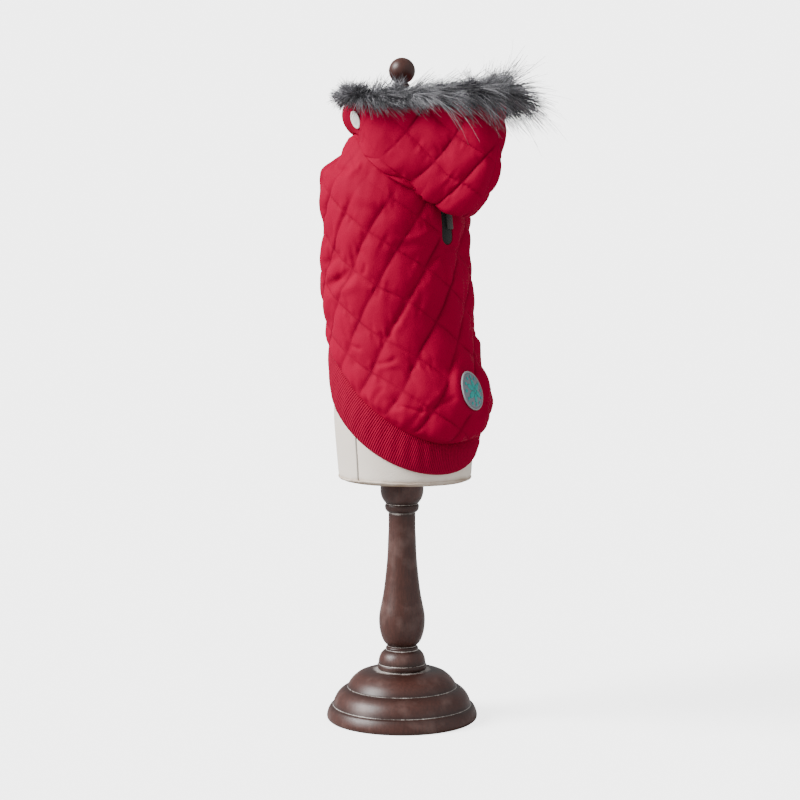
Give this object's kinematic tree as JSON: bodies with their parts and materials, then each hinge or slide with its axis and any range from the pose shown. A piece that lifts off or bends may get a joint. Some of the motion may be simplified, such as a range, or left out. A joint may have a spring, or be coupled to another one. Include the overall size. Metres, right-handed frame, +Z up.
{
  "type": "quilted dog coat on a dress form",
  "caption": "Quilted hooded dog coat with fur-trimmed hood and ribbed hem, worn by a limbless dress form on a turned wooden stand.",
  "frame": {"origin": "centre of the stand base's flat underside, on the floor", "axes": "+Z up along the stand; +Y towards the dog's back and the hood, -Y towards its belly and throat; +X towards the dog's left side"},
  "size_m": [0.159, 0.2426, 0.6529],
  "materials": {
    "quilted_polyester": "padded woven polyester with square quilting, soft sheen",
    "plain_polyester": "plain woven polyester",
    "rib_knit": "fine rib knit, matte",
    "faux_fur": "long-pile faux fur, grey with dark tips",
    "black_cloth": "black woven cloth",
    "grey_webbing": "grey webbing",
    "white_acetal": "moulded, satin",
    "teal_rubber": "moulded soft rubber, satin",
    "grey_rubber": "moulded soft rubber, satin",
    "canvas": "cream plain-weave canvas, matte",
    "stained_wood": "dark brown stain with white in the grooves, satin"
  },
  "bodies": {
    "root": {"coat_back_panel": "quilted_polyester", "coat_belly_panel": "plain_polyester", "coat_hem_rib": "rib_knit", "leg_binding_left": "plain_polyester", "leg_binding_right": "plain_polyester", "hood_left": "quilted_polyester", "hood_right": "quilted_polyester", "collar_front": "plain_polyester", "collar_snap": "white_acetal", "fur_trim": "faux_fur", "leash_slot_liner": "black_cloth", "leash_slot_tab": "grey_webbing", "round_patch": "teal_rubber", "round_patch_rim": "grey_rubber", "form_torso": "canvas", "form_finial": "stained_wood", "stand_collar": "stained_wood", "stand_column": "stained_wood", "stand_base": "stained_wood"}
  },
  "joints": []
}
